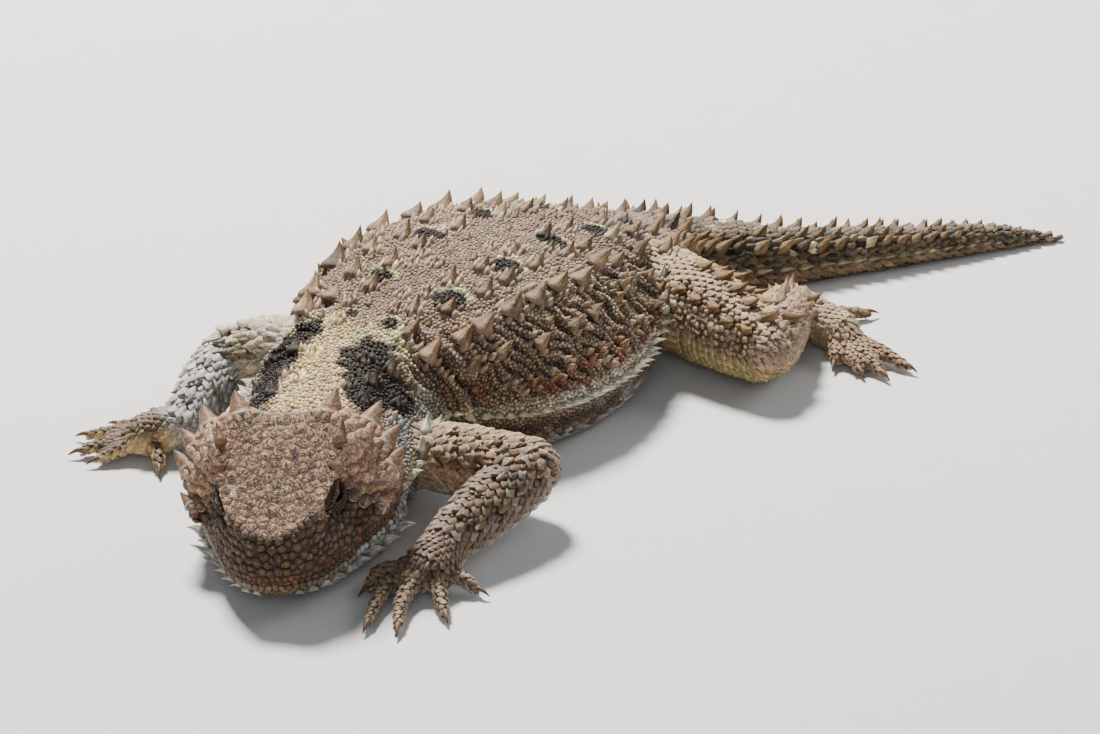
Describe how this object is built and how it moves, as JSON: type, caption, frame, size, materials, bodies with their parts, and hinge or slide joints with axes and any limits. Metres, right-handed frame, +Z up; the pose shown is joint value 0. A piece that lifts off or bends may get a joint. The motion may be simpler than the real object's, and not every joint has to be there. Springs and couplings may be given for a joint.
{
  "type": "horned lizard model",
  "caption": "Life-size still model of a horned lizard lying flat, with horned head, spiny back, fringed sides and short tail.",
  "frame": {"origin": "on the floor under the middle of the trunk, on the flat of the belly", "axes": "+Y toward the tail, +X toward the animal's left, +Z up"},
  "size_m": [0.0596, 0.1243, 0.0182],
  "materials": {
    "head_scales": "rough horny head scales, tan with dark pits and pale seams",
    "jaw_scales": "matte, grey and rust lip scales",
    "neck_skin": "matte granular skin, cream stripe between dark blotches",
    "back_skin": "matte granular skin with golden spines, dark blotches and an ivory fringe",
    "tail_skin": "matte ringed skin with keeled spines",
    "leg_skin": "matte overlapping keeled scales, ochre toes and amber claws",
    "horn": "satin horn",
    "eye": "wet dark eye"
  },
  "bodies": {
    "root": {"head": "head_scales", "jaw": "jaw_scales", "neck": "neck_skin", "torso": "back_skin", "tail_base": "tail_skin", "tail_middle": "tail_skin", "tail_tip": "tail_skin", "upper_arm_left": "leg_skin", "forearm_left": "leg_skin", "hand_left": "leg_skin", "thigh_left": "leg_skin", "shin_left": "leg_skin", "foot_left": "leg_skin", "upper_arm_right": "leg_skin", "forearm_right": "leg_skin", "hand_right": "leg_skin", "thigh_right": "leg_skin", "shin_right": "leg_skin", "foot_right": "leg_skin", "horn_occipital_left": "horn", "horn_occipital_right": "horn", "horn_temporal_upper_left": "horn", "horn_temporal_upper_right": "horn", "horn_temporal_middle_left": "horn", "horn_temporal_middle_right": "horn", "horn_temporal_lower_left": "horn", "horn_temporal_lower_right": "horn", "horn_cheek_left": "horn", "horn_cheek_right": "horn", "eye_left": "eye", "eye_right": "eye"}
  },
  "joints": []
}
